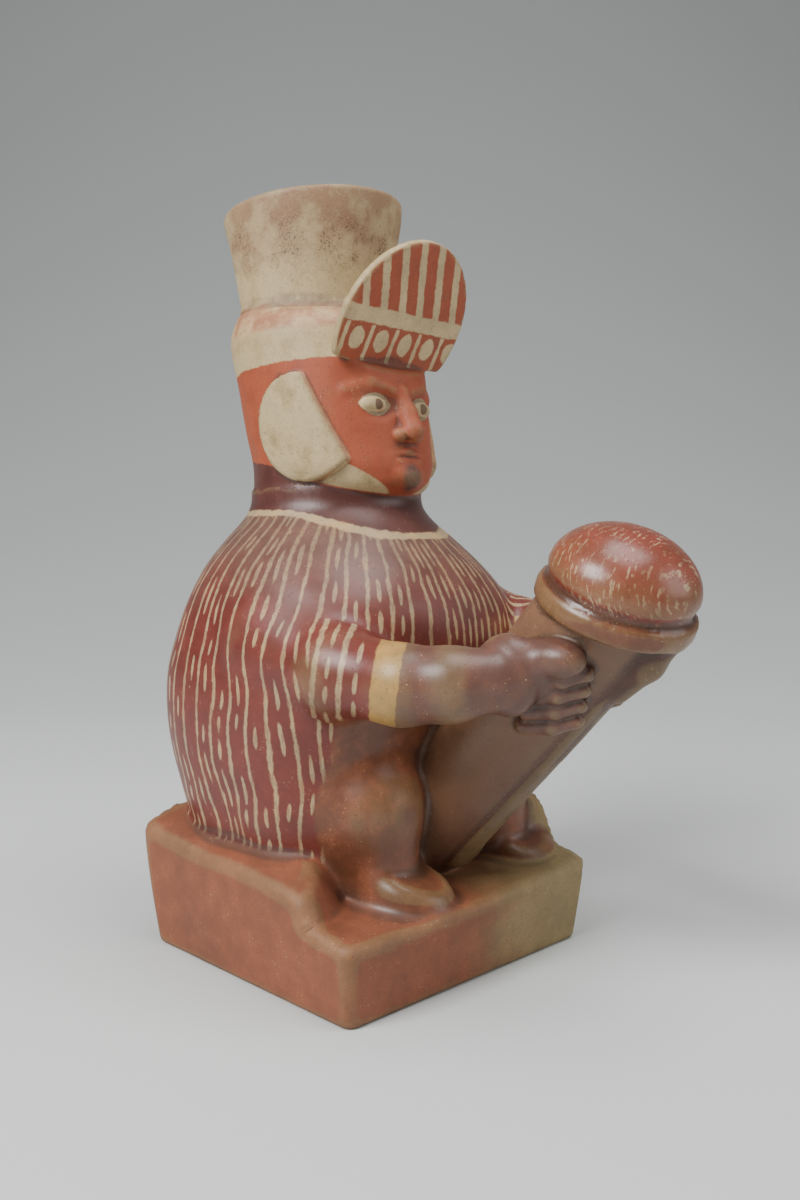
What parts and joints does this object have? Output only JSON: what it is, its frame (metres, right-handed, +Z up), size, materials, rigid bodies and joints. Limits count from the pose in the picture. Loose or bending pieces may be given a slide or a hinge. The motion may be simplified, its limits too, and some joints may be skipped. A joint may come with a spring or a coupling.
{
  "type": "figure vessel",
  "caption": "Hollow fired-clay jar shaped as a seated figure on a stepped block, wide flaring spout on the head, hands holding a slanting shaft",
  "frame": {"origin": "on the underside of the block, in the middle plane of the figure and midway between the block's front and back edges", "axes": "+Z up through the spout; the figure faces -Y; +X is the figure's left"},
  "size_m": [0.1914, 0.2878, 0.4053],
  "materials": {
    "ceramic": "burnished painted slip, worn"
  },
  "bodies": {
    "root": {"figure_vessel": "ceramic"}
  },
  "joints": []
}
